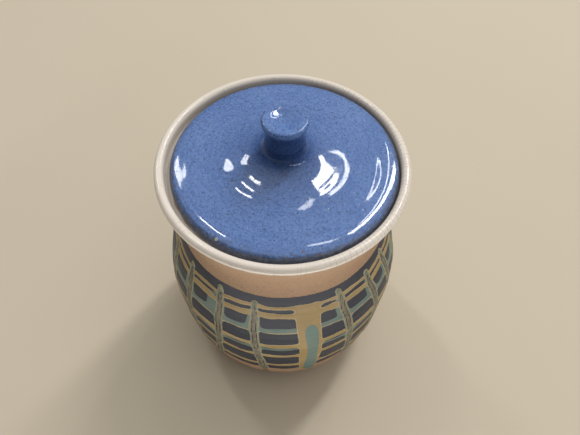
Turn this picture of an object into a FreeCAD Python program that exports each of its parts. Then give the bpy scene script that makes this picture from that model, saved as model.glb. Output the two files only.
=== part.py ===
import FreeCAD, Part
import os
from math import cos, radians, sin

# Biscuit jar: a thrown pot, its loose lid and the knob that is stuck on the lid.
# Sizes are in millimetres. Z is up, and the origin is the middle of the foot, on the table.

# Jar: radii of the outside, from the foot up.
foot_radius = 60.0
belly_radius = 87.6
neck_radius = 72.0
rim_radius = 82.0

# Jar: heights, each one measured from the level below it.
foot_height = 5.0
foot_to_belly_height = 90.0
belly_to_neck_height = 65.0
neck_to_rim_height = 41.0

# Jar: clay.
wall = 6.5
floor_thickness = 8.5
foot_ring_width = 7.0
foot_recess_depth = 3.0
lip_thickness = 6.4
edge_softening = 1.5

# Gallery: the step inside the lip that the lid sits in.
gallery_depth = 9.5
ledge_width = 9.0
gallery_corner = 2.5

# Lid: the play round it, and the coat of glaze that keeps it off the ledge.
lid_play = 1.9
seat_gap = 0.3

# Lid: sizes above its own underside.
lid_edge_height = 8.0
lid_shoulder = 4.5
lid_height = 26.0
lid_hollow_depth = 6.5
lid_seat_width = 11.5
crown_angle = 8.0

# Knob: its joint with the lid, its waist and its head.
knob_joint_radius = 12.8
knob_waist_radius = 12.3
knob_head_radius = 14.5
knob_height = 18.8
knob_head_roll = 2.0
knob_dish_depth = 2.0

# Angles, in degrees, at which the outside leaves the foot and meets the lip.
base_angle = 30.0
under_lip_angle = -20.0

# How far the thrown curves run straight on before they bend, as shares of the height or width they span.
base_share = 0.66
belly_share_below = 0.965
belly_share_above = 0.37
neck_share_below = 0.18
neck_share_above = 0.3
under_lip_share = 0.3
throat_share = 0.4
inner_belly_share = 0.75
floor_share = 0.95
crown_share = 0.69
flare_share = 0.72
hollow_top_share = 0.7
hollow_side_share = 0.6
waist_share = 0.45
joint_share = 0.5
waist_share_below = 0.4
waist_share_above = 0.5
head_share_below = 0.3
dish_rim_share = 0.3
dish_middle_share = 0.4

# Jar heights above the table.
belly_height = foot_height + foot_to_belly_height
neck_height = belly_height + belly_to_neck_height
rim_height = neck_height + neck_to_rim_height
floor_height = foot_recess_depth + floor_thickness

# The lip is a round roll, and the gallery wall hangs from its inner side.
lip_roll = lip_thickness / 2
lip_centre_radius = rim_radius - lip_roll
lip_centre_height = rim_height - lip_roll
gallery_radius = rim_radius - lip_thickness
ledge_height = rim_height - gallery_depth
ledge_inner_radius = gallery_radius - ledge_width

# The lid takes its size and place from the gallery.
lid_radius = gallery_radius - lid_play
lid_bottom = ledge_height + seat_gap
lid_shoulder_radius = lid_radius - lid_shoulder
lid_shoulder_height = lid_bottom + lid_edge_height - lid_shoulder
lid_hollow_radius = lid_radius - lid_seat_width
knob_joint_height = lid_bottom + lid_height
knob_top = knob_joint_height + knob_height


def at(radius, height):
    """A point of a section, in the plane through the axis."""
    return FreeCAD.Vector(radius, 0, height)


def line(start, end):
    return Part.LineSegment(start, end).toShape()


def roll(centre, radius, from_angle, to_angle):
    """A round stretch of a section, its angles counted from straight outwards, up being 90."""
    def point(angle):
        turn = radians(angle)
        return centre + at(radius * cos(turn), radius * sin(turn))
    return Part.Arc(point(from_angle), point((from_angle + to_angle) / 2), point(to_angle)).toShape()


def curve(start, start_pull, end_pull, end):
    """A thrown curve: it leaves start along start_pull and comes in to end against end_pull."""
    bezier = Part.BezierCurve()
    bezier.setPoles([start, start + start_pull, end + end_pull, end])
    return bezier.toShape()


def turned(section):
    """The solid that a closed section makes when it is turned about the axis."""
    face = Part.Face(Part.Wire(section))
    return face.revolve(FreeCAD.Vector(0, 0, 0), FreeCAD.Vector(0, 0, 1), 360)


def jar_outside():
    """From the foot's edge out to the belly, in to the neck and out to the lip."""
    foot = at(foot_radius, foot_height)
    belly = at(belly_radius, belly_height)
    neck = at(neck_radius, neck_height)
    under_lip = radians(under_lip_angle)
    lip_centre = at(lip_centre_radius, lip_centre_height)
    lip = lip_centre + at(lip_roll * cos(under_lip), lip_roll * sin(under_lip))
    base_pull = (belly_radius - foot_radius) * base_share
    base_turn = radians(base_angle)
    return [
        curve(foot, at(base_pull * cos(base_turn), base_pull * sin(base_turn)),
              at(0, -foot_to_belly_height * belly_share_below), belly),
        curve(belly, at(0, belly_to_neck_height * belly_share_above),
              at(0, -belly_to_neck_height * neck_share_below), neck),
        curve(neck, at(0, neck_to_rim_height * neck_share_above),
              at(sin(under_lip), -cos(under_lip)) * (neck_to_rim_height * under_lip_share), lip),
        roll(lip_centre, lip_roll, under_lip_angle, 180),
    ]


def jar_inside():
    """From the lip down the gallery wall, over the ledge and down the hollow to the floor."""
    gallery_top = at(gallery_radius, lip_centre_height)
    corner = at(gallery_radius - gallery_corner, ledge_height + gallery_corner)
    gallery_foot = at(gallery_radius, ledge_height + gallery_corner)
    ledge_outer = at(gallery_radius - gallery_corner, ledge_height)
    ledge_end = at(ledge_inner_radius + edge_softening, ledge_height)
    throat_round = at(ledge_inner_radius + edge_softening, ledge_height - edge_softening)
    throat = at(ledge_inner_radius, ledge_height - edge_softening)
    neck = at(neck_radius - wall, neck_height)
    belly = at(belly_radius - wall, belly_height)
    floor_edge = at(foot_radius - foot_ring_width, floor_height)
    throat_drop = throat.z - neck_height
    floor_drop = belly_height - floor_height
    return [
        line(gallery_top, gallery_foot),
        roll(corner, gallery_corner, 0, -90),
        line(ledge_outer, ledge_end),
        roll(throat_round, edge_softening, 90, 180),
        curve(throat, at(0, -throat_drop * throat_share), at(0, throat_drop * throat_share), neck),
        curve(neck, at(0, -belly_to_neck_height * neck_share_below),
              at(0, belly_to_neck_height * belly_share_above), belly),
        curve(belly, at(0, -floor_drop * inner_belly_share),
              at((belly.x - floor_edge.x) * floor_share, 0), floor_edge),
        line(floor_edge, at(0, floor_height)),
    ]


def jar_foot():
    """From the axis out over the shallow recess and the ring that stands on the table."""
    ring_inner = foot_radius - foot_ring_width
    recess = at(0, foot_recess_depth)
    recess_edge = at(ring_inner, foot_recess_depth)
    ring_inner_edge = at(ring_inner, edge_softening)
    inner_round = at(ring_inner + edge_softening, edge_softening)
    outer_round = at(foot_radius - edge_softening, edge_softening)
    return [
        line(recess, recess_edge),
        line(recess_edge, ring_inner_edge),
        roll(inner_round, edge_softening, 180, 270),
        line(at(ring_inner + edge_softening, 0), at(foot_radius - edge_softening, 0)),
        roll(outer_round, edge_softening, -90, 0),
        line(at(foot_radius, edge_softening), at(foot_radius, foot_height)),
    ]


def jar_body():
    axis = line(at(0, floor_height), at(0, foot_recess_depth))
    return turned(jar_foot() + jar_outside() + jar_inside() + [axis])


def lid():
    """The lid: a flat seat, a round shoulder, a low crown and the flare that carries the knob."""
    slope = radians(90 - crown_angle)
    shoulder_centre = at(lid_shoulder_radius, lid_shoulder_height)
    crown_start = shoulder_centre + at(lid_shoulder * cos(slope), lid_shoulder * sin(slope))
    flare_top = at(knob_joint_radius, knob_joint_height)
    crown_width = crown_start.x - knob_joint_radius
    flare_height = knob_joint_height - crown_start.z
    edge_round = at(lid_radius - edge_softening, lid_bottom + edge_softening)
    seat_round = at(lid_hollow_radius + edge_softening, lid_bottom + edge_softening)
    hollow_side = at(lid_hollow_radius, lid_bottom + edge_softening)
    hollow_top = at(0, lid_bottom + lid_hollow_depth)
    return turned([
        roll(seat_round, edge_softening, 180, 270),
        line(at(seat_round.x, lid_bottom), at(edge_round.x, lid_bottom)),
        roll(edge_round, edge_softening, -90, 0),
        line(at(lid_radius, edge_round.z), at(lid_radius, lid_shoulder_height)),
        roll(shoulder_centre, lid_shoulder, 0, 90 - crown_angle),
        curve(crown_start, at(-sin(slope), cos(slope)) * (crown_width * crown_share),
              at(0, -flare_height * flare_share), flare_top),
        line(flare_top, at(0, knob_joint_height)),
        line(at(0, knob_joint_height), hollow_top),
        curve(hollow_top, at(lid_hollow_radius * hollow_top_share, 0),
              at(0, lid_hollow_depth * hollow_side_share), hollow_side),
    ])


def lid_knob():
    """The knob: a waist, a rolled head and a shallow dish in its top."""
    joint = at(knob_joint_radius, knob_joint_height)
    head_centre = at(knob_head_radius - knob_head_roll, knob_top - knob_head_roll)
    head_side = at(knob_head_radius, head_centre.z)
    crest = at(head_centre.x, knob_top)
    dish = at(0, knob_top - knob_dish_depth)
    waist_height = knob_joint_height + (head_centre.z - knob_joint_height) * waist_share
    waist = at(knob_waist_radius, waist_height)
    waist_rise = waist.z - joint.z
    head_rise = head_side.z - waist.z
    return turned([
        line(at(0, knob_joint_height), joint),
        curve(joint, at(0, waist_rise * joint_share), at(0, -waist_rise * waist_share_below), waist),
        curve(waist, at(0, head_rise * waist_share_above), at(0, -head_rise * head_share_below),
              head_side),
        roll(head_centre, knob_head_roll, 0, 90),
        curve(crest, at(-crest.x * dish_rim_share, 0), at(crest.x * dish_middle_share, 0), dish),
        line(dish, at(0, knob_joint_height)),
    ])


os.makedirs("parts", exist_ok=True)
for name, solid in {"jar_body": jar_body(), "lid": lid(), "lid_knob": lid_knob()}.items():
    solid.exportStep(f"parts/{name}.step")
    box = solid.BoundBox
    print(name, solid.isValid(), len(solid.Solids), round(solid.Volume / 1000, 1), "cm3",
          "radius", round(box.XMax, 2), "height", round(box.ZMin, 2), "to", round(box.ZMax, 2))
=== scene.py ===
import math

import bpy
import numpy as np
from mathutils import Matrix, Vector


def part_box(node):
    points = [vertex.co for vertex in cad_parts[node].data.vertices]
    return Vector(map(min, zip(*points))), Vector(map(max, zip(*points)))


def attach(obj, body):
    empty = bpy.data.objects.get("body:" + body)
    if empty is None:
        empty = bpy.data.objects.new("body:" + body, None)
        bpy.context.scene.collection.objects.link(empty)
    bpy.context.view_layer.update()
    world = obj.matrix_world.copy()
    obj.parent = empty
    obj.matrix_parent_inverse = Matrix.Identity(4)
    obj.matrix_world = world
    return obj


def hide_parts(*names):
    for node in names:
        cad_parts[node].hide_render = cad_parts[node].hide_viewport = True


# A thrown stoneware biscuit jar: slip-banded belly, bare collar, cream glazed lip and a blue glazed lid.
# Lengths are in millimetres and angles in degrees until a mesh is written, which is in metres.
# Angles go round the jar from the side that faces the camera, and grow to the right.

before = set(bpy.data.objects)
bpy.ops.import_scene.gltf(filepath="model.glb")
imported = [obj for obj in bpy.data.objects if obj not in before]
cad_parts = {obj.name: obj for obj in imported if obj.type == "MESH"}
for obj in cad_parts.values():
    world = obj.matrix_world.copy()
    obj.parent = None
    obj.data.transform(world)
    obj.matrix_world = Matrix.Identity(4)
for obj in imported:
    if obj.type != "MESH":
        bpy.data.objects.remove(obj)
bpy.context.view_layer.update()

MM = 0.001
FULL_TURN = 2 * math.pi

# Places on the outlines of the solids: corners at which a stretch of a mesh starts or ends.
FOOT_RADIUS = 60.0
FOOT_HEIGHT = 5.0
FOOT_RING_INNER = 54.5
EDGE_SOFTENING = 1.5
GALLERY_CORNER_TOP = (75.6, 194.0)
THROAT_CORNER = (66.6, 190.0)
LID_HOLLOW_RADIUS = 62.2
LID_SHOULDER = 4.5
LID_EDGE_HEIGHT = 8.0
LID_HEIGHT = 26.0
KNOB_JOINT_RADIUS = 12.8
KNOB_HEAD_ROLL = 2.0

# How far a point of a solid may be off its seam, off the axis or off a corner and still count as on it.
SEAM_SLACK = 0.001
AXIS_SLACK = 0.01
POLE_SLACK = 0.05
CORNER_SLACK = 0.1


# Sections: the outlines of the solids, read from the frame.

def section(node):
    """The outline of a turned node as points (radius, height), walked along its seam from the axis out."""
    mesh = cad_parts[node].data
    places = np.array([v.co for v in mesh.vertices]) / MM
    on_seam = (np.abs(places[:, 1]) < SEAM_SLACK) & (places[:, 0] > -SEAM_SLACK)
    names = [tuple(np.round(place[[0, 2]], 3)) for place in places]
    beside = {}
    for edge in mesh.edges:
        a, b = edge.vertices
        if on_seam[a] and on_seam[b] and names[a] != names[b]:
            beside.setdefault(names[a], set()).add(names[b])
            beside.setdefault(names[b], set()).add(names[a])
    start = min((place for place in beside if len(beside[place]) == 1), key=lambda place: place[1])
    walk = [start]
    while True:
        ahead = [place for place in beside[walk[-1]] if place not in walk[-2:]]
        if not ahead:
            break
        walk.append(ahead[0])
    if walk[0][0] > AXIS_SLACK:
        walk.insert(0, (0.0, walk[0][1]))
    if walk[-1][0] > AXIS_SLACK:
        walk.append((0.0, walk[-1][1]))
    return np.array(walk)


class Outline:
    """A section as a smooth curve: place(distance) along it, and the way that its surface faces."""

    def __init__(self, points, sharp=20.0):
        self.points = points
        steps = np.diff(points, axis=0)
        lengths = np.hypot(steps[:, 0], steps[:, 1])
        self.at = np.concatenate([[0.0], np.cumsum(lengths)])
        self.length = self.at[-1]
        ways = steps / lengths[:, None]
        turns = np.degrees(np.arccos(np.clip((ways[1:] * ways[:-1]).sum(1), -1, 1)))
        corner = np.concatenate([[True], turns > sharp, [True]])
        blend = np.zeros_like(points)
        share = lengths[:-1] / (lengths[:-1] + lengths[1:])
        blend[1:-1] = ways[1:] * share[:, None] + ways[:-1] * (1 - share)[:, None]
        leave, arrive = blend.copy(), blend.copy()
        leave[:-1][corner[:-1]] = ways[corner[:-1]]
        arrive[1:][corner[1:]] = ways[corner[1:]]
        self.leave, self.arrive = leave, arrive

    def place(self, distance):
        """Radius and height at a distance along the outline, on a cubic between its points."""
        distance = np.clip(distance, 0, self.length)
        i = np.clip(np.searchsorted(self.at, distance, side="right") - 1, 0, len(self.at) - 2)
        span = self.at[i + 1] - self.at[i]
        t = ((distance - self.at[i]) / span)[..., None]
        start, end = self.points[i], self.points[i + 1]
        pull_out, pull_in = self.leave[i] * span[..., None], self.arrive[i + 1] * span[..., None]
        return ((2 * t**3 - 3 * t**2 + 1) * start + (t**3 - 2 * t**2 + t) * pull_out
                + (3 * t**2 - 2 * t**3) * end + (t**3 - t**2) * pull_in)

    def facing(self, distance, step=0.05):
        """The unit vector that points out of the clay, to the right of the walk."""
        along = self.place(distance + step) - self.place(distance - step)
        along /= np.maximum(np.hypot(along[..., 0], along[..., 1]), 1e-9)[..., None]
        return np.stack([along[..., 1], -along[..., 0]], -1)

    def distance_to(self, radius, height, tries=200):
        """How far along the outline its point nearest to a place is."""
        gaps = np.hypot(self.points[:, 0] - radius, self.points[:, 1] - height)
        i = int(gaps.argmin())
        near = np.linspace(self.at[max(i - 1, 0)], self.at[min(i + 1, len(self.at) - 1)], tries)
        places = self.place(near)
        return float(near[np.hypot(places[:, 0] - radius, places[:, 1] - height).argmin()])


class Wall(Outline):
    """The outline of the jar, with its crest and the distance at which its outside reaches a height."""

    def __init__(self, points):
        super().__init__(points)
        top = int(points[:, 1].argmax())
        self.crest = self.at[top]
        low_radius, low_height = FOOT_RADIUS - CORNER_SLACK, EDGE_SOFTENING - CORNER_SLACK
        outside = [i for i in range(top + 1) if points[i, 0] > low_radius and points[i, 1] > low_height]
        self.heights = points[outside, 1]
        self.reaches = self.at[outside]

    def distance_to_height(self, height):
        return np.interp(height, self.heights, self.reaches)


def stretch(start, end, spacing):
    """Evenly spaced distances from start up to, but not with, end."""
    count = max(1, round(abs(end - start) / spacing))
    return np.linspace(start, end, count, endpoint=False)


def ring_noise(seed, angles, highest=12, lowest=1, fall=1.0):
    """Smooth noise round the jar, about 1 high, that meets itself after a full turn."""
    rng = np.random.default_rng(seed)
    orders = np.arange(lowest, highest + 1)
    sizes = rng.normal(size=len(orders)) / orders**fall
    phases = rng.uniform(0, FULL_TURN, len(orders))
    sizes /= np.sqrt((sizes**2).sum() / 2)
    waves = sizes[:, None] * np.cos(orders[:, None] * np.ravel(angles) + phases[:, None])
    return waves.sum(0).reshape(np.shape(angles))


def smooth_step(low, high, value):
    t = np.clip((value - low) / (high - low), 0, 1)
    return t * t * (3 - 2 * t)


def wrapped(angle):
    """An angle in radians brought to within half a turn of 0."""
    return (angle + math.pi) % FULL_TURN - math.pi


def turned_mesh(name, outline, distances, angles, lift, fields, aside=0.0):
    """A mesh of rows along an outline and columns round the axis, lifted off it by lift millimetres.

    distances and lift are (rows, columns). Rows at the axis close to one point. The axis is aside
    millimetres to the right. Each field is kept at the vertices, for the material to read.
    """
    rows, columns = distances.shape
    places = np.maximum(outline.place(distances) + outline.facing(distances) * lift[..., None], 0)
    radius, height = places[..., 0], places[..., 1]
    x, y = radius * np.sin(angles) + aside, -radius * np.cos(angles)
    grid = np.stack([x, y, height], -1)
    first_pole = radius[0].max() < POLE_SLACK
    last_pole = radius[-1].max() < POLE_SLACK
    body = slice(int(first_pole), rows - int(last_pole))
    vertices = [grid[body].reshape(-1, 3)]
    count = len(vertices[0])
    here = np.arange(count).reshape(-1, columns)
    beside = np.roll(here, -1, axis=1)
    faces = np.stack([here[:-1], beside[:-1], beside[1:], here[1:]], -1).reshape(-1, 4).tolist()
    if first_pole:
        vertices.append(grid[0].mean(0)[None])
        faces += [(count, int(b), int(a)) for a, b in zip(here[0], beside[0])]
        count += 1
    if last_pole:
        vertices.append(grid[-1].mean(0)[None])
        faces += [(count, int(a), int(b)) for a, b in zip(here[-1], beside[-1])]
    mesh = bpy.data.meshes.new(name)
    mesh.from_pydata((np.concatenate(vertices) * MM).tolist(), [], faces)
    mesh.polygons.foreach_set("use_smooth", np.ones(len(mesh.polygons), bool))
    for field, values in fields.items():
        kept = [values[body].reshape(-1)]
        if first_pole:
            kept.append(values[0].mean()[None])
        if last_pole:
            kept.append(values[-1].mean()[None])
        layer = mesh.attributes.new(field, "FLOAT", "POINT")
        layer.data.foreach_set("value", np.concatenate(kept).astype(np.float32))
    mesh.update()
    piece = bpy.data.objects.new(name, mesh)
    bpy.context.scene.collection.objects.link(piece)
    return piece


# The painted belly. A painted shape is kept as the depth inside it at every vertex, positive inside.

# Everything that is painted lies between these heights on the wall.
GROUND_TOP = 150.3
GROUND_BOTTOM = 47.0

# Lines that run right round: height of the middle, and width.
CREAM_LINES = [(141.1, 3.2), (133.9, 4.9), (99.6, 5.0), (80.9, 4.6), (58.8, 4.2)]
GREEN_LINES = [(119.4, 4.8), (94.6, 3.6)]
CREAM_HEMS = [(117.2, 1.1)]

# Narrow pulls across the lines: angle at the top, lean to the bottom, bow, top height, and the
# width of the grey-green pool on its left.
# They go right round about 20 degrees apart, and a broad pull takes the place of some.
NARROW_PULLS = [
    (-71.5, 5.0, 1.5, 144.5, 1.0), (-52.0, 6.5, -1.0, 146.2, 1.5), (-31.8, -3.0, 2.5, 147.4, 8.0),
    (-12.6, 4.5, -1.0, 145.4, 1.2), (30.0, 7.5, 1.5, 147.2, 2.2), (48.5, 6.5, 2.5, 145.8, 1.6),
    (63.5, 6.0, 2.0, 146.6, 1.0), (82.0, 3.5, -1.5, 145.2, 5.5), (103.0, -4.0, 1.0, 146.8, 1.2),
    (122.5, 5.0, 1.5, 147.0, 2.5), (161.0, -3.5, -1.5, 145.0, 1.4), (180.5, 4.0, 1.0, 146.4, 7.5),
    (199.0, 6.0, -1.0, 147.2, 1.2), (219.5, -2.5, 1.5, 145.6, 3.0), (259.5, 4.5, 1.0, 146.9, 1.6),
]
PULL_WIDTH = 6.2
PULL_BOTTOM = 44.0
# How far the comb drags the lines along as it crosses them, and how far to its sides.
DRAG = 1.3
DRAG_REACH = 6.0
# The two grooves of a pull: half the width of each, and how far off its middle they run, which
# grows towards its foot. The ridge between them keeps this far from them.
GROOVE_HALF = 0.38
GROOVE_SPREAD = 1.5
GROOVE_SPREAD_LOW = 0.8
RIDGE_MARGIN = 0.35
# Pools of slip beside the pulls. They have round corners and reach a little under the pull.
POOL_TOP = 137.0
POOL_BOTTOM = 119.0
POOL_CORNER = 3.0
POOL_ROUND = 1.8
POOL_OVERLAP = 2.2
POOL_INSET = 2.6

# Burst pinholes in the pulls: number of the pull, height, and radius of the hole.
PINHOLES = [(2, 77.3, 1.0), (3, 102.4, 0.6), (9, 88.0, 0.7), (11, 70.5, 0.9), (14, 112.0, 0.6)]
PINHOLE_ASIDE = 0.4
PINHOLE_DEPTH = 0.5

# Broad pulls: angle at the top, lean to the bottom, and bow.
BROAD_PULLS = [(13.6, 1.2, 0.5), (142.0, -2.0, 0.5), (239.5, 2.0, -0.5)]
BROAD_WIDTH = 17.5
BROAD_TOP = 142.4
BROAD_BOTTOM = 37.0
BROAD_CORNER_TOP = 3.0
BROAD_CORNER_BOTTOM = 5.5
# The plain rounded bar on a broad pull.
BAR_TOP = 119.5
BAR_BOTTOM = 41.0
BAR_HALF = 4.4
BAR_ASIDE = 1.4

# Thickness of each coat, and how deep the pulls are cut. The bare clay lies MOST_COAT under its
# outline, so that all coats together stay inside it.
GROUND_COAT = 0.14
LINE_COAT = 0.3
BAR_COAT = 0.16
PULL_COAT = 0.32
GROOVE_CUT = 0.5
MOST_COAT = 0.85

# Depths that lie outside every painted shape: on the belly, and on the rest of the jar or lid.
FAR_OUTSIDE = -50.0
OUTSIDE = -5.0


def smooth_union(a, b, reach):
    """The union of two shapes given by their depth inside, with corners filled over reach."""
    share = np.clip(0.5 + 0.5 * (a - b) / reach, 0, 1)
    return b * (1 - share) + a * share + reach * share * (1 - share)


def pull_path(angle, lean, bow, along):
    """Angle of a pull's middle in radians, along going from 0 at its top to 1 at its bottom."""
    return np.radians(angle + lean * along + bow * 4 * along * (1 - along))


def line_depth(up, wall, height, width, wobble, angles, seed):
    """Depth inside a painted line that runs round at a height."""
    middle = wall.distance_to_height(height) + wobble * ring_noise(seed, angles, 16, 1, 0.8)
    half = width / 2 * (1 + 0.13 * ring_noise(seed + 500, angles, 40, 5, 0.5))
    return half - np.abs(up - middle)


def lines_depth(up, wall, lines, wobble, angles, seed):
    """Depth inside any of a list of lines."""
    depths = [line_depth(up, wall, height, width, wobble, angles, seed + number)
              for number, (height, width) in enumerate(lines)]
    return np.maximum.reduce(depths)


def dragged(up, angles, radius, top, bottom):
    """Distances up the wall, shifted beside each narrow pull by the drag of its comb."""
    drag = np.zeros_like(up)
    along = np.clip((top - up) / (top - bottom), 0, 1)
    for number, (angle, lean, bow, _, _) in enumerate(NARROW_PULLS):
        offset = wrapped(angles - pull_path(angle, lean, bow, along)) * radius
        way = 1 if number % 3 else -1
        drag += way * DRAG * np.exp(-(offset / DRAG_REACH) ** 2)
    return up + drag


def narrow_pull_fields(wall, up, angles, radius):
    """Depths inside the narrow pulls, and inside their grooves, ridges, pools and pinholes."""
    names = ("pull", "groove", "ridge", "pool", "pinhole")
    fields = {name: np.full_like(up, FAR_OUTSIDE) for name in names}

    def add(name, depth):
        fields[name] = np.maximum(fields[name], depth)

    pool_top, pool_bottom = wall.distance_to_height(POOL_TOP), wall.distance_to_height(POOL_BOTTOM)
    for number, (angle, lean, bow, top_height, pool_width) in enumerate(NARROW_PULLS):
        start = wall.distance_to_height(top_height)
        end = wall.distance_to_height(PULL_BOTTOM + 2.0 * math.sin(7.0 * number))
        along = (start - up) / (start - end)
        inside = np.clip(along, 0, 1)
        wander = 0.25 * np.sin(inside * 17.0 + number) + 0.2 * np.sin(inside * 31.0 + 2 * number)
        offset = wrapped(angles - pull_path(angle, lean, bow, inside)) * radius + wander
        half = PULL_WIDTH / 2 * (0.72 + 0.36 * smooth_step(0.02, 0.22, inside)
                                 + 0.3 * smooth_step(0.8, 1.0, inside)
                                 + 0.06 * np.sin(inside * 23.0 + 3 * number))
        over = np.maximum(0, np.maximum(up - (start - half), (end + half) - up))
        add("pull", half - np.hypot(offset, over * 0.8))

        pool_half = pool_width / 2
        aside = np.abs(offset + half + pool_half - POOL_OVERLAP) - (pool_half + half - POOL_INSET)
        beyond = np.abs(up - (pool_top + pool_bottom) / 2 + 1.5 * np.sin(3.0 * number))
        beyond = beyond - ((pool_top - pool_bottom) / 2 - POOL_CORNER)
        add("pool", POOL_ROUND - np.hypot(np.maximum(aside, 0), 0.7 * np.maximum(beyond, 0)))

        spread = (GROOVE_SPREAD * smooth_step(0.0, 0.16, inside)
                  + GROOVE_SPREAD_LOW * smooth_step(0.82, 1.0, inside))
        width = GROOVE_HALF * smooth_step(0.015, 0.09, inside) * (1 + 0.2 * np.sin(inside * 13.0 + number))
        ends = np.minimum((0.985 - along) * 90, (along - 0.03) * 90)
        for side in (-1, 1):
            add("groove", np.minimum(width - np.abs(offset - side * spread), ends))
        add("ridge", np.minimum(spread - RIDGE_MARGIN - np.abs(offset), (along - 0.05) * 90))

        for place, height, size in PINHOLES:
            if place == number:
                away = np.hypot(offset - PINHOLE_ASIDE, up - wall.distance_to_height(height))
                add("pinhole", size - away)
    return fields


def broad_pull_fields(wall, up, angles, radius):
    """Depths inside the broad pulls and their bars."""
    broad = np.full_like(up, FAR_OUTSIDE)
    bar = np.full_like(up, FAR_OUTSIDE)
    start, end = wall.distance_to_height(BROAD_TOP), wall.distance_to_height(BROAD_BOTTOM)
    bar_top, bar_end = wall.distance_to_height(BAR_TOP), wall.distance_to_height(BAR_BOTTOM)
    for number, (angle, lean, bow) in enumerate(BROAD_PULLS):
        inside = np.clip((start - up) / (start - end), 0, 1)
        offset = wrapped(angles - pull_path(angle, lean, bow, inside)) * radius
        offset = offset + 0.4 * np.sin(inside * 9.0 + number)
        half = BROAD_WIDTH / 2 * (1 - 0.06 * inside - 0.24 * smooth_step(0.62, 0.98, inside))
        corner = np.where(up > (start + end) / 2, BROAD_CORNER_TOP, BROAD_CORNER_BOTTOM)
        aside = np.maximum(np.abs(offset) - (half - corner), 0)
        over = np.maximum(np.maximum(up - (start - corner), (end + corner) - up), 0)
        broad = np.maximum(broad, corner - np.hypot(aside, over))
        bar_half = BAR_HALF * (1 - 0.1 * np.cos(inside * 11.0))
        over = np.maximum(0, np.maximum(up - (bar_top - bar_half), (bar_end + bar_half) - up))
        bar = np.maximum(bar, bar_half - np.hypot(offset - BAR_ASIDE, over * 0.55))
    return {"broad": broad, "bar": bar}


def painted_fields(wall, up, angles, radius):
    """Depth inside each coat at every vertex of the belly, up being the distance along the wall."""
    top, bottom = wall.distance_to_height(GROUND_TOP), wall.distance_to_height(GROUND_BOTTOM)
    level = dragged(up, angles, radius, top, bottom)
    fields = narrow_pull_fields(wall, up, angles, radius)
    fields.update(broad_pull_fields(wall, up, angles, radius))
    green = lines_depth(level, wall, GREEN_LINES, 0.5, angles, 30)
    cream = lines_depth(level, wall, CREAM_LINES, 0.45, angles, 10)
    fields["hem"] = lines_depth(level, wall, CREAM_HEMS, 0.5, angles, 30)
    fields["cream"] = smooth_union(cream, fields.pop("broad"), 3.0)
    fields["green"] = smooth_union(smooth_union(green, fields.pop("pool"), 4.0), fields["pull"], 5.0)
    fields["ground"] = np.minimum(top - up + 0.35 * ring_noise(3, angles, 20, 1, 0.7),
                                  up - bottom + 0.6 * ring_noise(4, angles, 20, 1, 0.7))
    return fields


def rounded(depth, coat, edge):
    """Height of a coat with a rounded edge, from the depth inside it."""
    share = np.clip(depth / edge, 0, 1)
    return coat * np.sqrt(1 - (1 - share) ** 2)


def painted_relief(fields):
    """How far the painted surface stands off the bare clay."""
    trailed = np.maximum.reduce([fields["cream"], fields["green"], fields["hem"]])
    relief = rounded(fields["ground"], GROUND_COAT, 0.5)
    relief += rounded(trailed, LINE_COAT, 1.3)
    relief += rounded(fields["bar"], BAR_COAT, 1.0)
    relief += rounded(fields["pull"], PULL_COAT, 1.4)
    relief -= GROOVE_CUT * smooth_step(-0.35, 0.3, fields["groove"])
    relief -= PINHOLE_DEPTH * smooth_step(-0.4, 0.4, fields["pinhole"])
    return relief


def column_angles(count):
    """Angles of the columns, closer together at the pulls."""
    fine = np.linspace(0, FULL_TURN, 4001)
    density = np.ones_like(fine)
    for angle, lean, bow, _, _ in NARROW_PULLS:
        middle = math.radians(angle + lean * 0.5 + bow * 0.5)
        reach = math.radians(3.2 + abs(lean) * 0.3)
        density += 0.9 * np.exp(-(wrapped(fine - middle) / reach) ** 2)
    total = np.concatenate([[0], np.cumsum((density[1:] + density[:-1]) / 2)])
    return np.interp(np.linspace(0, total[-1], count, endpoint=False), total, fine)


# Pieces.

WALL_COLUMNS = 420
GLAZE_COLUMNS = 300
LID_COLUMNS = 300
KNOB_COLUMNS = 144

# The painted stretch of the wall has the finest rows.
FINE_BOTTOM = 43.0
FINE_TOP = 152.5
# Under the glaze the clay lies this far inside its outline.
GLAZED_CLAY = 0.72
# How much nearer its outline the bare clay comes on its way up from the painting to the glaze.
NECK_RISE = 0.4
# Radii at which a distance round a piece is counted for its materials.
BELLY_RADIUS = 87.0
LIP_RADIUS = 79.0
LID_RADIUS = 73.0
KNOB_RADIUS = 13.0


def over_grid(rows, angles):
    """Rows and angles spread over the whole grid of a mesh."""
    return np.repeat(rows[:, None], len(angles), axis=1), np.repeat(angles[None, :], len(rows), axis=0)


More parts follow.
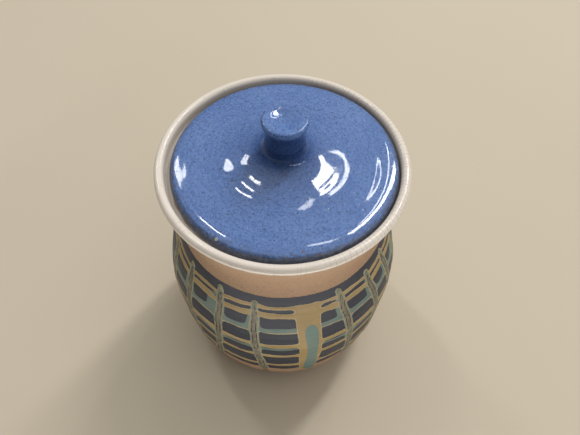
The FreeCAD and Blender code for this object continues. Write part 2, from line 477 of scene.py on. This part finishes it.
def make_clay_body(wall):
    """The clay of the jar, from the recess of the foot over the painted wall to the hidden inside."""
    angles = column_angles(WALL_COLUMNS)
    foot_edge = wall.distance_to(FOOT_RADIUS, EDGE_SOFTENING)
    foot_top = wall.distance_to(FOOT_RADIUS, FOOT_HEIGHT)
    low, high = wall.distance_to_height(FINE_BOTTOM), wall.distance_to_height(FINE_TOP)
    ring = wall.distance_to(FOOT_RING_INNER, 0.0)
    ledge_end = wall.distance_to(*THROAT_CORNER)
    crest = wall.crest
    rows = np.concatenate([
        stretch(0, ring - 6, 12.0), stretch(ring - 6, foot_edge, 0.8), stretch(foot_edge, foot_top, 0.9),
        stretch(foot_top, low, 2.2), stretch(low, high, 0.85), stretch(high, crest - 7, 2.4),
        stretch(crest - 7, ledge_end + 2, 1.5), stretch(ledge_end + 2, wall.length, 11.0), [wall.length]])
    distance, around = over_grid(rows, angles)
    radius = wall.place(distance)[..., 0]
    outside = ((rows > foot_edge) & (rows < crest))[:, None]
    fields = {name: np.where(outside, depth, OUTSIDE)
              for name, depth in painted_fields(wall, distance, around, radius).items()}
    throwing = 0.07 * np.sin(rows * 0.83 + 1.2 * np.sin(rows * 0.21))[:, None] * outside
    covered = smooth_step(crest - 7.5, crest - 5.5, rows)[:, None]
    foot_fade = smooth_step(foot_top, foot_top + 3, rows)[:, None]
    bare_neck = NECK_RISE * smooth_step(high, crest - 12, rows)[:, None]
    lift = (painted_relief(fields) - MOST_COAT + throwing + bare_neck) * foot_fade * (1 - covered)
    lift = lift - GLAZED_CLAY * covered
    fields["up_wall"] = distance
    fields["around"] = around * BELLY_RADIUS
    return turned_mesh("jar_clay", wall, distance, angles, lift, fields)


# The glaze starts in a wavy edge at this height, this far inside the outline, and rises by GLAZE_RISE.
# A hidden lead before the edge dives deeper into the clay.
GLAZE_EDGE_HEIGHT = 193.6
GLAZE_EDGE_LEAD = np.array([-0.5, -0.15, 0.0, 0.2, 0.5, 0.9, 1.5, 2.3])
GLAZE_EDGE_DEPTH = 0.55
GLAZE_RISE = 0.5
GLAZE_DIVE = 0.75
# The lid's seat on the ledge is bare from here, counted along the outline from the gallery's corner.
BARE_START = 5.0


def make_jar_glaze(wall):
    """The cream glaze: it starts in a wavy edge below the lip and lines the inside down to the floor."""
    angles = np.linspace(0, FULL_TURN, GLAZE_COLUMNS, endpoint=False)
    edge = wall.distance_to_height(GLAZE_EDGE_HEIGHT) + 0.6 * ring_noise(71, angles, 90, 2, 0.5)
    ledge_start = wall.distance_to(*GALLERY_CORNER_TOP)
    ledge_end = wall.distance_to(*THROAT_CORNER)
    tail = np.concatenate([
        stretch(wall.crest - 4, ledge_start - 0.5, 0.7), stretch(ledge_start - 0.5, ledge_end + 2, 0.6),
        stretch(ledge_end + 2, wall.length - 60, 4.0), stretch(wall.length - 60, wall.length, 6.0),
        [wall.length]])
    start = edge[None, :] + GLAZE_EDGE_LEAD[:, None]
    share = np.linspace(0, 1, 9)[1:-1]
    middle = start[-1] + share[:, None] * (tail[0] - start[-1])
    distance = np.concatenate([start, middle, np.repeat(tail[:, None], GLAZE_COLUMNS, axis=1)])
    past = distance - edge[None, :]
    dive = GLAZE_DIVE * smooth_step(-0.5, 0.05, past) - GLAZE_DIVE
    rise = GLAZE_RISE * np.sqrt(smooth_step(-0.4, 4.0, past))
    lift = np.where(past < 0, dive, rise) - GLAZE_EDGE_DEPTH
    around = np.repeat(angles[None, :], len(distance), axis=0)
    bare = np.minimum(distance - (ledge_start + BARE_START), (ledge_end - 0.2) - distance)
    bare = bare + 0.5 * ring_noise(72, around, 40, 2, 0.6)
    fields = {"past_edge": past, "around": around * LIP_RADIUS, "up_wall": distance - wall.crest,
              "bare": bare, "side": np.sin(around)}
    return turned_mesh("jar_glaze", wall, distance, angles, lift, fields)


# The loose lid lies this far to the right of the middle of the jar, within its play.
LID_ASIDE = 1.3
# How much more steeply than its outline the lid falls away: radius and degrees, from the knob out.
LID_FALL = [(22.0, 0.0), (25.6, 0.4), (33.5, 2.3), (37.0, 1.6), (41.0, 0.0), (45.0, -3.0), (56.0, -3.2),
            (62.0, -3.2), (65.5, -2.6), (68.5, 0.0)]
# Low swells in its glaze: radius of the crest, reach, steepest slope, angle of the middle and spread.
LID_SWELLS = [(57.5, 3.0, 4.0, 82.0, 20.0), (60.0, 4.5, 5.0, -88.0, 26.0), (34.0, 4.0, 3.5, -60.0, 45.0),
              (34.5, 1.6, 3.0, 50.0, 14.0)]
# The steepest slope of a swell that is 1 high and reaches 1.
SWELL_SLOPE = 0.858
# Chips in the glaze of the lid that show pale clay, and a rusty speck: field, radius, angle and size.
LID_SPOTS = [("chip", 71.4, -32.2, 1.1), ("chip", 70.6, -5.4, 0.6), ("rust", 68.6, 10.1, 0.8)]


def lid_relief(reach, around):
    """How far the thrown surface of the lid stands off its outline."""
    radii, falls = zip(*LID_FALL)
    fine = np.linspace(radii[0], radii[-1], 400)
    number = np.clip(np.searchsorted(radii, fine) - 1, 0, len(radii) - 2)
    low, high = np.take(radii, number), np.take(radii, number + 1)
    share = smooth_step(0, 1, (fine - low) / (high - low))
    slope = np.radians(np.take(falls, number) * (1 - share) + np.take(falls, number + 1) * share)
    drop = np.cumsum(slope) * (fine[1] - fine[0])
    relief = np.interp(reach, fine, drop[-1] - drop)
    for crest, width, steepest, angle, spread in LID_SWELLS:
        height = math.radians(steepest) * width / SWELL_SLOPE
        aside = np.degrees(wrapped(around - math.radians(angle))) / spread
        relief = relief + height * np.exp(-((reach - crest) / width) ** 2 - aside**2)
    return relief


def make_lid(outline):
    """The lid: its hollow underside, bare seat, dark side, round shoulder and crown up to the knob."""
    low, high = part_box("lid")
    bottom, top, reach = low.z / MM, high.z / MM, high.x / MM
    seat_in = outline.distance_to(LID_HOLLOW_RADIUS + EDGE_SOFTENING, bottom)
    seat_out = outline.distance_to(reach - EDGE_SOFTENING, bottom)
    shoulder = outline.distance_to(reach - LID_SHOULDER, bottom + LID_EDGE_HEIGHT)
    flare_top = outline.distance_to(KNOB_JOINT_RADIUS, top)
    rows = np.concatenate([
        stretch(0, seat_in - 4, 4.0), stretch(seat_in - 4, seat_in, 0.5),
        stretch(seat_in, seat_out - 1, 1.2), stretch(seat_out - 1, shoulder + 2, 0.35),
        stretch(shoulder + 2, flare_top, 0.75), [flare_top]])
    angles = np.linspace(0, FULL_TURN, LID_COLUMNS, endpoint=False)
    distance, around = over_grid(rows, angles)
    radius, height = np.moveaxis(outline.place(distance), -1, 0)
    crown = smooth_step(shoulder - 3, shoulder + 8, rows)
    crown *= 1 - smooth_step(flare_top - 6, flare_top, rows)
    waves = 0.003 * np.sin(rows * 1.1 + 0.9 * np.sin(rows * 0.23)) - 0.06
    lift = (lid_relief(radius, around) + waves[:, None]) * crown[:, None]
    on_top = np.where(distance > seat_out, 1.0, -1.0)
    fields = {"radius": radius, "height": height - bottom, "around": around * LID_RADIUS, "on_top": on_top,
              "chip": np.full_like(distance, OUTSIDE), "rust": np.full_like(distance, OUTSIDE)}
    for name, middle, angle, size in LID_SPOTS:
        away = np.hypot(radius - middle, wrapped(around - math.radians(angle)) * middle)
        fields[name] = np.maximum(fields[name], np.where(on_top > 0, size - away, OUTSIDE))
    return turned_mesh("lid_cover", outline, distance, angles, lift, fields, LID_ASIDE)


# Where a thumb pressed the dish of the knob deeper: left of and behind its middle.
KNOB_PRESS = (-3.2, 2.6)
KNOB_PRESS_REACH = 3.2
KNOB_PRESS_DEPTH = 0.38
# The groove at which the knob is stuck on the lid.
KNOB_SEAM_DEPTH = 0.1
KNOB_SEAM_REACH = 0.45


def make_knob(outline):
    """The knob, from its joint with the lid over its waist and head to the dish in its top."""
    low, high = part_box("lid_knob")
    start = outline.distance_to(KNOB_JOINT_RADIUS, low.z / MM)
    head = outline.distance_to(high.x / MM, high.z / MM - KNOB_HEAD_ROLL)
    rows = np.concatenate([
        stretch(0, start, 6.0), stretch(start, head - 1, 0.6), stretch(head - 1, head + 4, 0.2),
        stretch(head + 4, outline.length, 0.5), [outline.length]])
    angles = np.linspace(0, FULL_TURN, KNOB_COLUMNS, endpoint=False)
    distance, around = over_grid(rows, angles)
    radius, height = np.moveaxis(outline.place(distance), -1, 0)
    seam = np.exp(-((distance - start - 0.5) / KNOB_SEAM_REACH) ** 2)
    x, y = radius * np.sin(around), -radius * np.cos(around)
    away = (x - KNOB_PRESS[0]) ** 2 + (y - KNOB_PRESS[1]) ** 2
    pressed = np.exp(-away / (2 * KNOB_PRESS_REACH**2)) * (distance > head)
    lift = -KNOB_SEAM_DEPTH * seam - KNOB_PRESS_DEPTH * pressed
    fields = {"radius": radius, "height": height - low.z / MM + LID_HEIGHT,
              "around": around * KNOB_RADIUS, "on_top": np.ones_like(distance), "seam": seam,
              "chip": np.full_like(distance, OUTSIDE), "rust": np.full_like(distance, OUTSIDE)}
    return turned_mesh("knob", outline, distance, angles, lift, fields, LID_ASIDE)


# Materials.

class Shader:
    """A material's nodes, added one call at a time."""

    def __init__(self, name):
        self.material = bpy.data.materials.new(name)
        self.material.use_nodes = True
        self.tree = self.material.node_tree
        self.surface = self.tree.nodes["Principled BSDF"]
        self.places = self.add("ShaderNodeTexCoord").outputs["Object"]

    def add(self, kind, inputs=(), **settings):
        node = self.tree.nodes.new(kind)
        for key, value in settings.items():
            setattr(node, key, value)
        for key, value in dict(inputs).items():
            self.set(node.inputs[key], value)
        return node

    def set(self, socket, value):
        if isinstance(value, bpy.types.NodeSocket):
            self.tree.links.new(value, socket)
        else:
            socket.default_value = value

    def finish(self, **inputs):
        """Sets the inputs of the surface, named with underscores for spaces, and gives the material."""
        for key, value in inputs.items():
            self.set(self.surface.inputs[key.replace("_", " ")], value)
        return self.material

    def field(self, name):
        return self.add("ShaderNodeAttribute", attribute_name=name).outputs["Fac"]

    def math(self, operation, *values):
        node = self.add("ShaderNodeMath", operation=operation)
        for socket, value in zip(node.inputs, values):
            self.set(socket, value)
        return node.outputs[0]

    def times(self, first, second):
        return self.math("MULTIPLY", first, second)

    def plus(self, first, second):
        return self.math("ADD", first, second)

    def most(self, first, second):
        return self.math("MAXIMUM", first, second)

    def vector(self, x, y, z=0.0):
        return self.add("ShaderNodeCombineXYZ", {"X": x, "Y": y, "Z": z}).outputs[0]

    def noise(self, scale, detail=3.0, roughness=0.55, vector=None):
        inputs = {"Vector": vector or self.places, "Scale": scale, "Detail": detail, "Roughness": roughness}
        return self.add("ShaderNodeTexNoise", inputs).outputs["Fac"]

    def cells(self, scale, feature="F1"):
        inputs = {"Vector": self.places, "Scale": scale}
        return self.add("ShaderNodeTexVoronoi", inputs, feature=feature).outputs["Distance"]

    def cuts(self, place):
        """Distance to the nearest of lines that stand about 1 apart along place."""
        node = self.add("ShaderNodeTexVoronoi", {"W": place, "Scale": 1.0},
                        feature="DISTANCE_TO_EDGE", voronoi_dimensions="1D")
        return node.outputs["Distance"]

    def ramp(self, value, low, high, to_low=0.0, to_high=1.0):
        """A smooth change from to_low to to_high as value goes from low to high."""
        inputs = {"Value": value, "From Min": low, "From Max": high, "To Min": to_low, "To Max": to_high}
        return self.add("ShaderNodeMapRange", inputs, interpolation_type="SMOOTHSTEP").outputs[0]

    def mix(self, share, first, second):
        node = self.add("ShaderNodeMix", data_type="RGBA")
        self.set(node.inputs["Factor"], share)
        self.set(node.inputs[6], first)
        self.set(node.inputs[7], second)
        return node.outputs[2]

    def bump(self, height, strength, distance, normal=None):
        inputs = {"Height": height, "Strength": strength, "Distance": distance}
        if normal:
            inputs["Normal"] = normal
        return self.add("ShaderNodeBump", inputs).outputs[0]


def rgb(red, green, blue):
    """A screen colour of 0 to 255 as the linear colour that a socket takes."""
    def linear(value):
        value /= 255
        return value / 12.92 if value <= 0.04045 else ((value + 0.055) / 1.055) ** 2.4
    return (linear(red), linear(green), linear(blue), 1.0)


def clay_colour(shader):
    """Buff stoneware: warm, mottled, with fine dark and pale grains."""
    cloud = shader.noise(38.0, 4.0, 0.6)
    base = shader.mix(cloud, rgb(168, 137, 109), rgb(184, 152, 124))
    grain = shader.ramp(shader.noise(800.0, 3.0, 0.8), 0.52, 0.66)
    base = shader.mix(shader.times(grain, 0.45), base, rgb(142, 108, 82))
    pale = shader.ramp(shader.noise(520.0, 3.0, 0.8), 0.55, 0.7)
    base = shader.mix(shader.times(pale, 0.4), base, rgb(206, 178, 152))
    iron = shader.ramp(shader.cells(360.0), 0.2, 0.12)
    sparse = shader.ramp(shader.noise(160.0, 1.0), 0.55, 0.62)
    return shader.mix(shader.times(iron, sparse), base, rgb(118, 82, 60))


def make_clay_material():
    """Bare clay, with the slips over it in the order in which they were laid."""
    shader = Shader("slip_painted_clay")
    ragged = shader.times(shader.math("SUBTRACT", shader.noise(620.0, 3.0, 0.6), 0.5), 0.9)

    def inside(name, soft=0.16, rough=1.0):
        depth = shader.plus(shader.field(name), shader.times(ragged, rough))
        return shader.ramp(depth, -soft, soft)

    brushed = shader.vector(shader.times(shader.field("around"), 0.05),
                            shader.times(shader.field("up_wall"), 1.6))
    streaks = shader.noise(1.0, 3.0, 0.65, brushed)
    patches = shader.noise(46.0, 3.0, 0.6)

    slate = shader.mix(shader.ramp(streaks, 0.35, 0.7), rgb(38, 42, 56), rgb(48, 52, 66))
    slate = shader.mix(shader.times(shader.ramp(patches, 0.5, 0.75), 0.35), slate, rgb(62, 62, 72))
    green = shader.mix(shader.ramp(patches, 0.35, 0.7), rgb(100, 120, 114), rgb(120, 136, 124))
    cream = shader.mix(shader.ramp(patches, 0.35, 0.7), rgb(162, 136, 86), rgb(176, 150, 103))
    # Painted highlight: the cream lines are lighter along their edges, standing in for the sheen that the
    # raised slip catches there.
    painted_edge_highlight = shader.ramp(shader.field("cream"), 0.9, 0.1)
    cream = shader.mix(shader.times(painted_edge_highlight, 0.6), cream, rgb(202, 186, 148))
    bar = shader.mix(shader.ramp(patches, 0.3, 0.7), rgb(102, 126, 120), rgb(116, 136, 126))
    margin = shader.ramp(shader.noise(210.0, 2.0), 0.4, 0.62)
    margin = shader.mix(margin, rgb(112, 122, 106), rgb(148, 140, 112))
    rim = shader.ramp(shader.field("pull"), 1.1, 0.2)
    margin = shader.mix(shader.times(rim, 0.65), margin, rgb(172, 162, 128))
    ridge = shader.ramp(shader.noise(300.0, 2.0), 0.4, 0.6)
    ridge = shader.mix(ridge, rgb(112, 104, 90), rgb(138, 126, 106))

    ground = inside("ground")
    colour = shader.mix(ground, clay_colour(shader), slate)
    colour = shader.mix(inside("green", 0.3, 0.7), colour, green)
    colour = shader.mix(inside("hem", 0.25), colour, cream)
    colour = shader.mix(inside("cream"), colour, cream)
    colour = shader.mix(inside("bar", 0.22), colour, bar)
    colour = shader.mix(inside("pull", 0.22), colour, margin)
    colour = shader.mix(inside("ridge", 0.3, 0.6), colour, ridge)
    colour = shader.mix(inside("groove", 0.14, 0.2), colour, rgb(42, 35, 32))
    colour = shader.mix(inside("pinhole", 0.15, 0.3), colour, rgb(20, 17, 16))

    rough = shader.ramp(shader.plus(ground, shader.times(patches, 0.2)), 0.0, 1.2, 0.78, 0.42)
    coarse = shader.plus(shader.times(streaks, 0.8), shader.noise(240.0, 3.0, 0.6))
    normal = shader.bump(shader.noise(1500.0, 2.0, 0.6), 0.22, 0.0004)
    normal = shader.bump(coarse, 0.25, 0.0004, normal)
    return shader.finish(Base_Color=colour, Roughness=rough, Specular_IOR_Level=0.3, Normal=normal)


def make_cream_glaze():
    """Cream glaze: crazed, thin and brownish at its edge, and wiped off where the lid sits."""
    shader = Shader("cream_glaze")
    warp = shader.times(shader.noise(130.0, 2.0), 0.5)
    across = shader.cuts(shader.math("MULTIPLY_ADD", shader.field("around"), 0.31, warp))
    along = shader.cuts(shader.math("MULTIPLY_ADD", shader.field("up_wall"), 0.16, shader.times(warp, 2.0)))
    patch = shader.plus(shader.noise(60.0, 3.0), shader.ramp(shader.field("side"), -0.4, 0.9, -0.12, 0.12))
    crack = shader.times(shader.ramp(across, 0.045, 0.0), shader.ramp(patch, 0.42, 0.64))
    short = shader.times(shader.ramp(along, 0.035, 0.0), shader.ramp(shader.noise(85.0, 2.0), 0.52, 0.62))
    crack = shader.most(crack, shader.times(short, 0.7))
    pits = shader.times(shader.ramp(shader.cells(300.0), 0.14, 0.08),
                        shader.ramp(shader.noise(90.0), 0.52, 0.6))
    uneven = shader.times(shader.noise(260.0, 4.0, 0.65), 2.4)
    thin = shader.ramp(shader.plus(shader.field("past_edge"), uneven), 4.8, 1.0)
    bare = shader.ramp(shader.field("bare"), -0.2, 0.2)

    colour = shader.mix(shader.noise(55.0, 4.0, 0.6), rgb(228, 216, 201), rgb(240, 231, 219))
    colour = shader.mix(shader.times(thin, 0.85), colour, rgb(192, 160, 134))
    colour = shader.mix(shader.times(crack, 0.75), colour, rgb(132, 106, 88))
    colour = shader.mix(shader.times(pits, 0.6), colour, rgb(130, 104, 84))
    colour = shader.mix(bare, colour, clay_colour(shader))

    sunk = shader.plus(shader.times(crack, -0.6), shader.times(pits, -1.0))
    normal = shader.bump(sunk, 0.3, 0.0003)
    normal = shader.bump(shader.noise(120.0, 2.0), 0.18, 0.0007, normal)
    return shader.finish(Base_Color=colour, Roughness=shader.ramp(bare, 0.0, 1.0, 0.1, 0.75), Normal=normal)


def make_blue_glaze():
    """Blue glaze: brushed, speckled and crazed, thin on the lid's side, with painted shade round the knob
    and a painted shadow along the lid's lowest edge.
    """
    shader = Shader("speckled_blue_glaze")
    radius, height = shader.field("radius"), shader.field("height")
    brushed = shader.vector(shader.times(shader.field("around"), 0.05), shader.times(radius, 0.8),
                            shader.times(height, 0.6))
    brush = shader.noise(1.0, 3.0, 0.6, brushed)
    cloud = shader.noise(34.0, 4.0, 0.6)
    grain = shader.noise(620.0, 4.0, 0.85)
    fine_specks = shader.times(shader.ramp(shader.cells(620.0), 0.3, 0.18),
                               shader.ramp(shader.noise(380.0, 1.0), 0.5, 0.56))
    bold_specks = shader.times(shader.ramp(shader.cells(300.0), 0.2, 0.13),
                               shader.ramp(shader.noise(150.0, 1.0), 0.53, 0.58))
    specks = shader.most(shader.times(fine_specks, 0.75), bold_specks)
    pale = shader.times(shader.ramp(shader.cells(150.0), 0.055, 0.03), shader.ramp(cloud, 0.5, 0.56))
    craze = shader.times(shader.ramp(shader.cells(150.0, "DISTANCE_TO_EDGE"), 0.03, 0.0),
                         shader.ramp(shader.noise(40.0, 2.0), 0.42, 0.6))
    # Painted shade: the lid's flare round the knob and the knob's waist are darkened to deep blue, standing
    # in for the shade that the knob casts and the dark that it reflects.
    painted_knob_shade = shader.times(shader.ramp(height, 9.0, 23.0), shader.ramp(height, 43.0, 39.0))
    patchy = shader.times(shader.noise(120.0, 3.0), 1.3)
    seam = shader.ramp(shader.plus(shader.field("seam"), patchy), 1.3, 1.7)

    colour = shader.mix(shader.ramp(brush, 0.3, 0.72), rgb(82, 116, 178), rgb(96, 131, 191))
    colour = shader.mix(shader.times(shader.ramp(cloud, 0.4, 0.72), 0.5), colour, rgb(106, 138, 192))
    colour = shader.mix(shader.times(shader.ramp(grain, 0.5, 0.64), 0.75), colour, rgb(50, 76, 130))
    colour = shader.mix(shader.times(shader.ramp(grain, 0.47, 0.34), 0.6), colour, rgb(120, 150, 204))
    colour = shader.mix(shader.times(specks, 0.85), colour, rgb(26, 38, 72))
    colour = shader.mix(shader.times(pale, 0.7), colour, rgb(178, 196, 226))
    colour = shader.mix(shader.times(craze, 0.4), colour, rgb(40, 58, 104))
    # Painted shade round the knob, in deep blue.
    colour = shader.mix(shader.times(painted_knob_shade, 0.65), colour, rgb(28, 46, 92))
    colour = shader.mix(shader.times(seam, 0.8), colour, rgb(158, 132, 118))

    uneven = shader.times(shader.math("SUBTRACT", shader.noise(300.0, 4.0, 0.7), 0.5), 4.0)
    top_only = shader.ramp(shader.field("on_top"), -0.2, 0.2)
    side = shader.times(shader.ramp(shader.plus(height, uneven), 8.6, 6.2), top_only)
    band = shader.ramp(shader.noise(420.0, 3.0, 0.7), 0.35, 0.65)
    band = shader.mix(band, rgb(58, 62, 74), rgb(96, 98, 106))
    # Painted shadow: the lowest edge of the lid's side is darkened to near black, standing in for the shade
    # in the gap between the lid and the rim.
    edge = shader.times(shader.ramp(height, 1.9, 1.1), top_only)
    rust = shader.times(shader.ramp(shader.cells(110.0), 0.14, 0.09),
                        shader.ramp(shader.noise(60.0), 0.5, 0.6))
    rust = shader.times(rust, shader.ramp(radius, 69.5, 71.5))
    rust = shader.most(rust, shader.ramp(shader.field("rust"), -0.3, 0.2))
    chip = shader.ramp(shader.plus(shader.field("chip"), shader.times(uneven, 0.15)), -0.2, 0.2)
    hem = shader.ramp(shader.plus(height, shader.times(uneven, 0.05)), 0.3, 0.1)
    hem = shader.times(hem, shader.ramp(radius, 61.0, 61.6))

    colour = shader.mix(shader.times(side, 0.88), colour, band)
    # Painted shadow along the lid's lowest edge, in near black.
    colour = shader.mix(edge, colour, rgb(26, 24, 24))
    colour = shader.mix(shader.times(rust, 0.8), colour, rgb(116, 74, 58))
    colour = shader.mix(chip, colour, rgb(176, 178, 160))
    colour = shader.mix(hem, colour, clay_colour(shader))

    rough = shader.ramp(shader.noise(90.0, 2.0), 0.3, 0.7, 0.03, 0.07)
    rough = shader.most(rough, shader.times(side, 0.34))
    rough = shader.most(rough, shader.times(hem, 0.7))
    sunk = shader.plus(shader.times(specks, -0.4), shader.times(pale, -1.0))
    normal = shader.bump(sunk, 0.25, 0.0002)
    normal = shader.bump(shader.noise(140.0, 2.0, 0.5), 0.06, 0.0004, normal)
    return shader.finish(Base_Color=colour, Roughness=rough, Specular_IOR_Level=0.55, Normal=normal)


def make_floor_material():
    shader = Shader("pale_floor")
    colour = shader.mix(shader.noise(2.2, 3.0, 0.5), rgb(205, 193, 170), rgb(213, 201, 180))
    return shader.finish(Base_Color=colour, Roughness=0.8)


# The camera stands where the photograph was taken from, found from the ellipses of the lip and lid.
LENS_PIXELS = 520.0
FRAME_WIDTH_PIXELS = 580.0
SENSOR_WIDTH = 36.0
CAMERA_PITCH = 55.71
CAMERA_ROLL = 1.2
CAMERA_PLACE = (5.3, -217.4, 453.2)


def make_camera():
    data = bpy.data.cameras.new("camera")
    data.sensor_width = SENSOR_WIDTH
    data.lens = SENSOR_WIDTH * LENS_PIXELS / FRAME_WIDTH_PIXELS
    data.clip_start = 0.01
    camera = bpy.data.objects.new("camera", data)
    bpy.context.scene.collection.objects.link(camera)
    tilt = Matrix.Rotation(math.radians(90 - CAMERA_PITCH), 4, "X")
    roll = Matrix.Rotation(math.radians(CAMERA_ROLL), 4, "Z")
    camera.matrix_world = Matrix.Translation([v * MM for v in CAMERA_PLACE]) @ tilt @ roll
    bpy.context.scene.camera = camera


# Half the side of the floor, in metres.
FLOOR_REACH = 4.0


def make_floor(material):
    mesh = bpy.data.meshes.new("floor")
    corners = [(x * FLOOR_REACH, y * FLOOR_REACH, 0) for x, y in ((-1, -1), (1, -1), (1, 1), (-1, 1))]
    mesh.from_pydata(corners, [], [(0, 1, 2, 3)])
    floor = bpy.data.objects.new("floor", mesh)
    bpy.context.scene.collection.objects.link(floor)
    floor.data.materials.append(material)


# The room is ROOM_HIGH bright towards ROOM_TOP and falls to ROOM_LOW where the cosine of the angle
# off it is ROOM_SIDE.
ROOM_TOP = (0.17, 0.36, 0.917)
ROOM_SIDE = 0.4
ROOM_LOW = 0.06
ROOM_HIGH = 0.95
ROOM_COLOUR = (1.0, 0.985, 0.96, 1.0)
BACKDROP_COLOUR = rgb(209, 198, 177)
# Window panes seen from the lid: azimuth, elevation, width, height and lean in degrees, and brightness.
WINDOWS = [
    ("right_pane", 140.0, 51.0, 4.6, 29.0, 0.0, 26.0),
    ("right_far_pane", 150.5, 49.0, 1.6, 24.0, 5.0, 16.0),
    ("left_low_pane", -141.0, 43.0, 5.0, 10.0, 0.0, 14.0),
    ("left_high_pane", -138.5, 63.0, 2.4, 9.0, 0.0, 24.0),
    ("right_top_pane", 158.0, 69.0, 7.0, 3.0, 0.0, 10.0),
    ("right_side_band", 56.0, 35.0, 56.0, 1.9, 0.0, 12.0),
]
# How far off the panes are, and the place that they face, in metres.
WINDOW_DISTANCE = 3.0
WINDOW_AIM = (0.0, 0.0, 0.2)
# A card on the floor in front of the jar, facing up, lights the underside of its belly: place, width,
# depth in metres, and watts.
CARD_PLACE = (0.2, -0.34, 0.012)
CARD_WIDTH = 1.2
CARD_DEPTH = 0.26
CARD_POWER = 2.6


def soft_box(name, place, aim, width, height, power, lean=0.0):
    """A rectangular lamp at place, in metres, that faces aim."""
    data = bpy.data.lights.new(name, "AREA")
    data.shape = "RECTANGLE"
    data.size, data.size_y = width, height
    data.energy = power
    lamp = bpy.data.objects.new(name, data)
    bpy.context.scene.collection.objects.link(lamp)
    start, end = Matrix.Translation(place), Matrix.Translation(aim)
    way = (end.translation - start.translation).normalized()
    roll = Matrix.Rotation(math.radians(lean), 4, "Z")
    lamp.matrix_world = start @ way.to_track_quat("-Z", "Y").to_matrix().to_4x4() @ roll
    return lamp


def soft_window(name, azimuth, elevation, width, height, lean, radiance):
    """A bright pane seen from the lid. Its azimuth grows to the right from the camera's side."""
    turn, rise = math.radians(azimuth), math.radians(elevation)
    way = (math.sin(turn) * math.cos(rise), -math.cos(turn) * math.cos(rise), math.sin(rise))
    place = [aim + part * WINDOW_DISTANCE for aim, part in zip(WINDOW_AIM, way)]
    across = 2 * WINDOW_DISTANCE * math.tan(math.radians(width) / 2)
    tall = 2 * WINDOW_DISTANCE * math.tan(math.radians(height) / 2)
    soft_box(name, place, WINDOW_AIM, across, tall, radiance * math.pi * across * tall, lean)


def make_room():
    """A soft room, bright overhead and behind, and dim near the horizon. A camera sees a pale backdrop."""
    world = bpy.data.worlds.new("room")
    world.use_nodes = True
    nodes, links = world.node_tree.nodes, world.node_tree.links
    light = nodes["Background"]
    light.inputs["Color"].default_value = ROOM_COLOUR
    towards = nodes.new("ShaderNodeTexCoord")
    height = nodes.new("ShaderNodeVectorMath")
    height.operation = "DOT_PRODUCT"
    height.inputs[1].default_value = ROOM_TOP
    level = nodes.new("ShaderNodeMapRange")
    level.interpolation_type = "SMOOTHSTEP"
    levels = {"From Min": ROOM_SIDE, "From Max": 1.0, "To Min": ROOM_LOW, "To Max": ROOM_HIGH}
    for name, value in levels.items():
        level.inputs[name].default_value = value
    backdrop = nodes.new("ShaderNodeBackground")
    backdrop.inputs["Color"].default_value = BACKDROP_COLOUR
    seen = nodes.new("ShaderNodeLightPath")
    either = nodes.new("ShaderNodeMixShader")
    links.new(towards.outputs["Generated"], height.inputs[0])
    links.new(height.outputs["Value"], level.inputs["Value"])
    links.new(level.outputs[0], light.inputs["Strength"])
    links.new(seen.outputs["Is Camera Ray"], either.inputs[0])
    links.new(light.outputs[0], either.inputs[1])
    links.new(backdrop.outputs[0], either.inputs[2])
    links.new(either.outputs[0], nodes["World Output"].inputs["Surface"])
    bpy.context.scene.world = world


def make_lights():
    """The room, its window panes, and the card on the floor."""
    make_room()
    for window in WINDOWS:
        soft_window(*window)
    above = (CARD_PLACE[0], CARD_PLACE[1], 1.0)
    card = soft_box("low_card", CARD_PLACE, above, CARD_WIDTH, CARD_DEPTH, CARD_POWER)
    card.visible_camera = False


make_camera()
make_floor(make_floor_material())
make_lights()

jar_wall = Wall(section("jar_body"))
clay = make_clay_body(jar_wall)
clay.data.materials.append(make_clay_material())
glaze = make_jar_glaze(jar_wall)
glaze.data.materials.append(make_cream_glaze())
blue_glaze = make_blue_glaze()
lid = make_lid(Outline(section("lid")))
lid.data.materials.append(blue_glaze)
knob = make_knob(Outline(section("lid_knob")))
knob.data.materials.append(blue_glaze)

for piece in (clay, glaze):
    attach(piece, "jar")
    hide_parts("jar_body")
for piece, node in ((lid, "lid"), (knob, "lid_knob")):
    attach(piece, "lid")
    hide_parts(node)

bpy.context.scene.view_settings.view_transform = "Standard"
